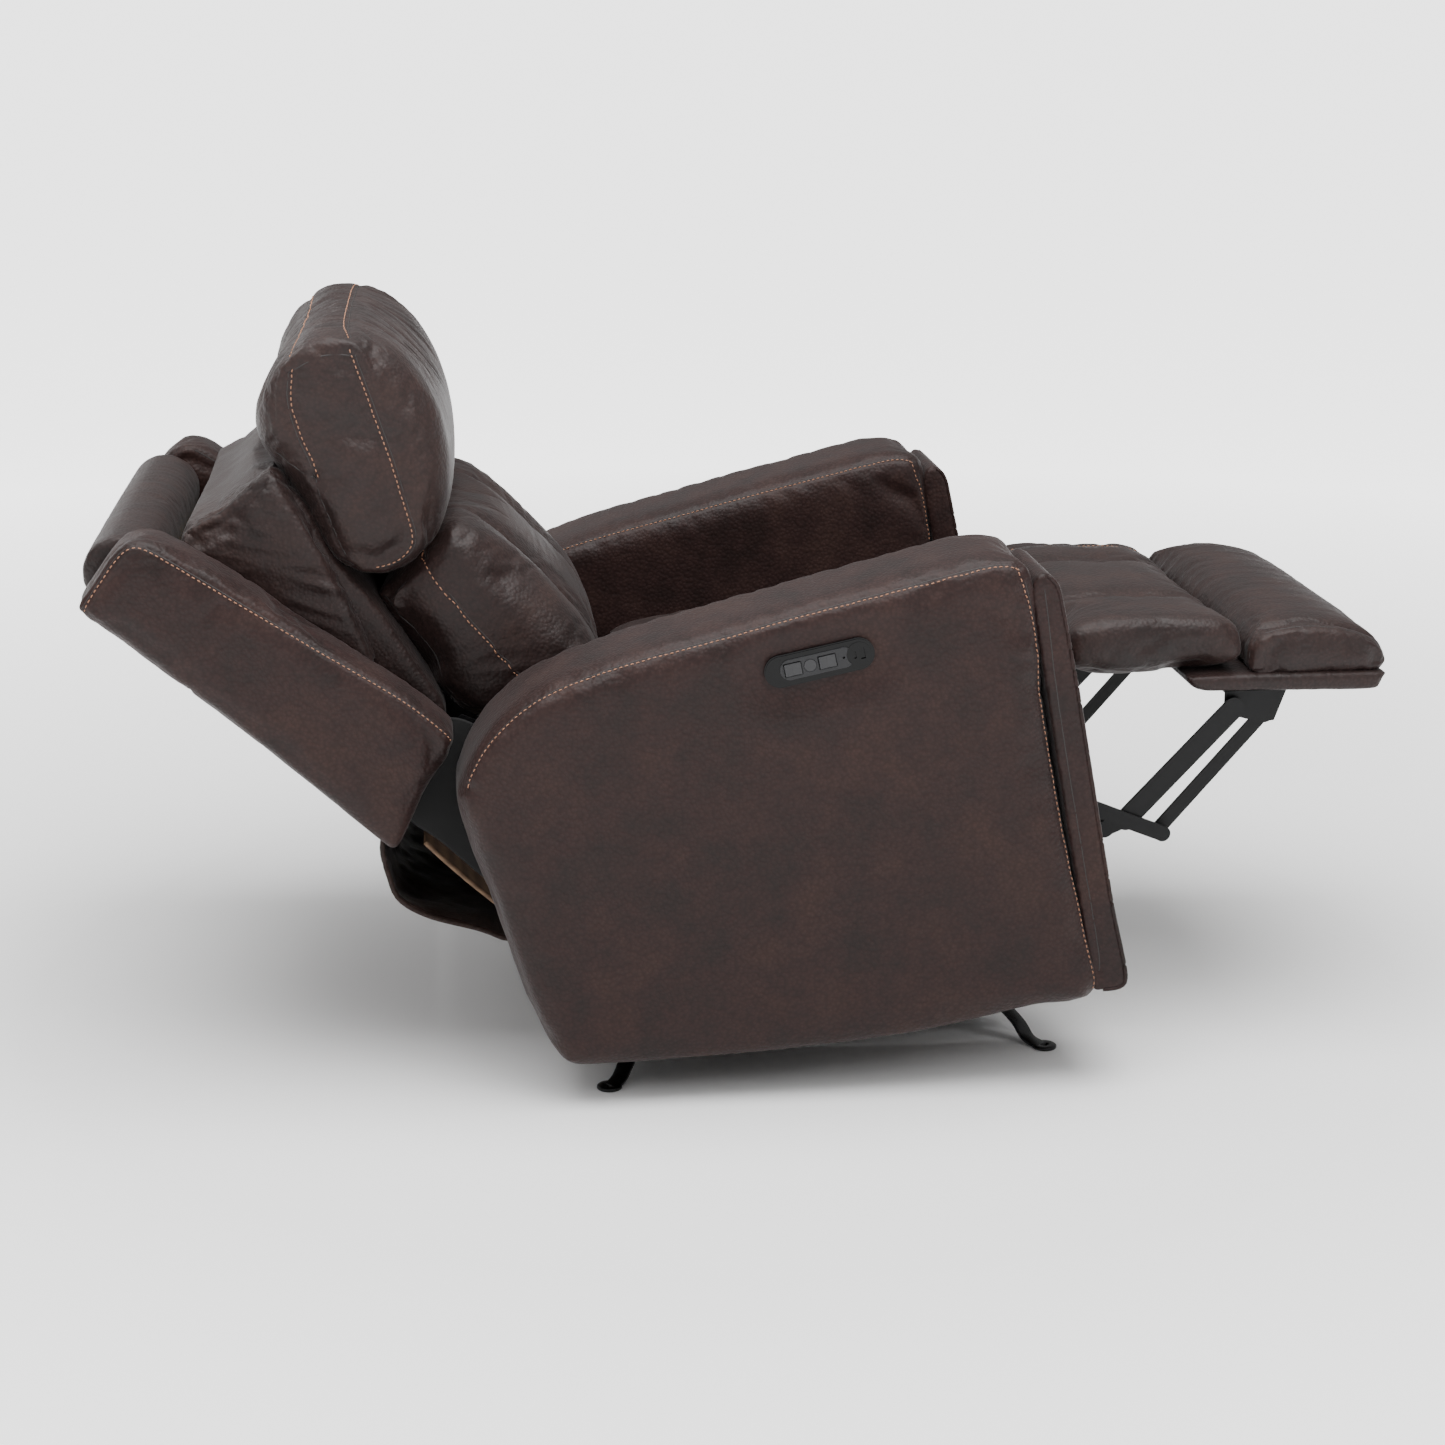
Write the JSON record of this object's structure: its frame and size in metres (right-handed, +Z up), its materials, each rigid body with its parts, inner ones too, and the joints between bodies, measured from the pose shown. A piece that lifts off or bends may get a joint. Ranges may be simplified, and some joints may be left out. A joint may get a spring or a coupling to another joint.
{
  "type": "power rocker recliner armchair",
  "caption": "Leather power rocker armchair, shown fully reclined with the footrest raised, the headrest tilted forward and an oval control panel on the arm's side.",
  "frame": {"origin": "centre of the overall plan outline of the fully reclined chair, on the floor", "axes": "+X forward to the footrest, +Y to the sitter's left, +Z up"},
  "size_m": [1.5529, 0.9022, 0.8978],
  "materials": {
    "black_steel": "satin",
    "foot_steel": "satin",
    "spring_wire": "satin",
    "hardboard": "matte",
    "pine": "matte",
    "leather_side": "satin",
    "leather_front": "satin",
    "leather_cushion": "satin",
    "leather_rear": "satin",
    "wrapped_board": "satin",
    "bezel_black": "gloss",
    "panel_grey": "matte",
    "button_grey": "satin",
    "motor_black": "matte",
    "rail_steel": "satin",
    "rod_steel": "polished"
  },
  "bodies": {
    "base": {"base_rail_left": "black_steel", "base_rail_right": "black_steel", "base_tube_front": "black_steel", "base_tube_rear": "black_steel", "foot_front_left": "foot_steel", "foot_front_right": "foot_steel", "foot_rear_left": "foot_steel", "foot_rear_right": "foot_steel", "rocker_springs": "spring_wire"},
    "chair_body": {"rocker_cam_left": "black_steel", "rocker_cam_right": "black_steel", "side_plate_left": "black_steel", "side_plate_right": "black_steel", "cross_tubes": "black_steel", "rear_board": "hardboard", "rear_panel": "leather_rear", "rear_flap": "leather_rear", "arm_frame_left": "pine", "arm_frame_right": "pine", "arm_left": "leather_side", "arm_right": "leather_side", "arm_front_left": "leather_front", "arm_front_right": "leather_front", "control_bezel": "bezel_black", "control_plate": "panel_grey", "usb_socket": "bezel_black", "power_supply": "motor_black", "power_inlet": "motor_black"},
    "recline_button": {"recline_switch": "button_grey"},
    "headrest_button": {"headrest_switch": "button_grey"},
    "home_key": {"home_button": "button_grey"},
    "seat": {"seat_rail_left": "black_steel", "seat_rail_right": "black_steel", "seat_front_board": "pine", "seat_springs": "spring_wire", "seat_cushion": "leather_cushion", "recline_motor": "motor_black", "drive_rail": "rail_steel"},
    "drive": {"drive_block": "motor_black"},
    "lift": {"lift_links": "black_steel", "footrest_torque_tube": "black_steel"},
    "control": {"control_links": "black_steel"},
    "outer": {"outer_links": "black_steel"},
    "steady": {"steady_links": "black_steel"},
    "ottoman": {"footrest_brackets": "black_steel", "footrest_board": "wrapped_board", "footrest_cushion": "leather_cushion", "chaise_pad": "leather_cushion"},
    "back": {"back_brackets": "black_steel", "back_frame": "pine", "wing_left": "leather_side", "wing_right": "leather_side", "back_roll": "leather_cushion", "back_panel": "leather_rear", "lumbar_cushion": "leather_cushion", "headrest_motor": "motor_black"},
    "headrest_drive": {"headrest_rod": "rod_steel"},
    "headrest": {"headrest_frame": "black_steel", "headrest_cushion": "leather_cushion"}
  },
  "joints": [
    {"name": "rock", "type": "hinge", "parent": "base", "child": "chair_body", "pos_m": [0.02, 0, 0.052], "axis": [0, 1, 0], "range_deg": [0, 9], "stiffness_Nm_per_rad": 120, "deforming": ["rocker_springs"]},
    {"name": "recline", "type": "hinge", "parent": "chair_body", "child": "back", "pos_m": [-0.345, 0, 0.412], "axis": [0, 1, 0], "range_deg": [0, 45], "deforming": ["rear_flap"]},
    {"name": "seat_tilt", "type": "hinge", "parent": "chair_body", "child": "seat", "pos_m": [-0.1, 0, 0.3], "axis": [0, 1, 0], "range_deg": [0, 5.01]},
    {"name": "footrest", "type": "hinge", "parent": "seat", "child": "lift", "pos_m": [0.266, 0, 0.362], "axis": [0, 1, 0], "range_deg": [0, 77], "deforming": ["chaise_pad"]},
    {"name": "footrest_outer", "type": "hinge", "parent": "lift", "child": "outer", "pos_m": [0.47, 0, 0.279], "axis": [0, 1, 0], "range_deg": [-111.05, 0]},
    {"name": "footrest_pad", "type": "hinge", "parent": "outer", "child": "ottoman", "pos_m": [0.6, 0, 0.418], "axis": [0, 1, 0], "range_deg": [0, 124.05]},
    {"name": "footrest_control", "type": "hinge", "parent": "seat", "child": "control", "pos_m": [0.2365, 0, 0.338], "axis": [0, 1, 0], "range_deg": [0, 77.59]},
    {"name": "footrest_steady", "type": "hinge", "parent": "lift", "child": "steady", "pos_m": [0.5155, 0, 0.261], "axis": [0, 1, 0], "range_deg": [-109.47, 0]},
    {"name": "drive_slide", "type": "slide", "parent": "seat", "child": "drive", "axis": [1, 0, 0], "range_m": [-0.0594, 0]},
    {"name": "headrest_tilt", "type": "hinge", "parent": "back", "child": "headrest", "pos_m": [-0.47, 0, 0.585], "axis": [0, 1, 0], "range_deg": [-41, 0]},
    {"name": "headrest_rod_slide", "type": "slide", "parent": "back", "child": "headrest_drive", "axis": [0.4933, 0, 0.8698], "range_m": [-0.0361, 0]},
    {"name": "recline_switch_rock", "type": "hinge", "parent": "chair_body", "child": "recline_button", "pos_m": [0.02868, -0.451, 0.52955], "axis": [-0.2079, 0, 0.9781], "range_deg": [-5, 5], "stiffness_Nm_per_rad": 0.1},
    {"name": "headrest_switch_rock", "type": "hinge", "parent": "chair_body", "child": "headrest_button", "pos_m": [0.0678, -0.451, 0.53787], "axis": [-0.2079, 0, 0.9781], "range_deg": [-5, 5], "stiffness_Nm_per_rad": 0.1},
    {"name": "home_button_press", "type": "slide", "parent": "chair_body", "child": "home_key", "axis": [0, 1, 0], "range_m": [0, 0.001], "stiffness_N_per_m": 500}
  ],
  "couplings": [
    {"joint": "seat_tilt", "follows": "recline", "ratio": 0.11111},
    {"joint": "footrest_outer", "follows": "footrest", "ratio": -1.4416},
    {"joint": "footrest_pad", "follows": "footrest", "ratio": 1.6104},
    {"joint": "footrest_control", "follows": "footrest", "ratio": 1.007},
    {"joint": "footrest_steady", "follows": "footrest", "ratio": -1.421},
    {"joint": "drive_slide", "follows": "footrest", "m_per_rad": -0.04413},
    {"joint": "headrest_rod_slide", "follows": "headrest_tilt", "m_per_rad": 0.05031}
  ]
}
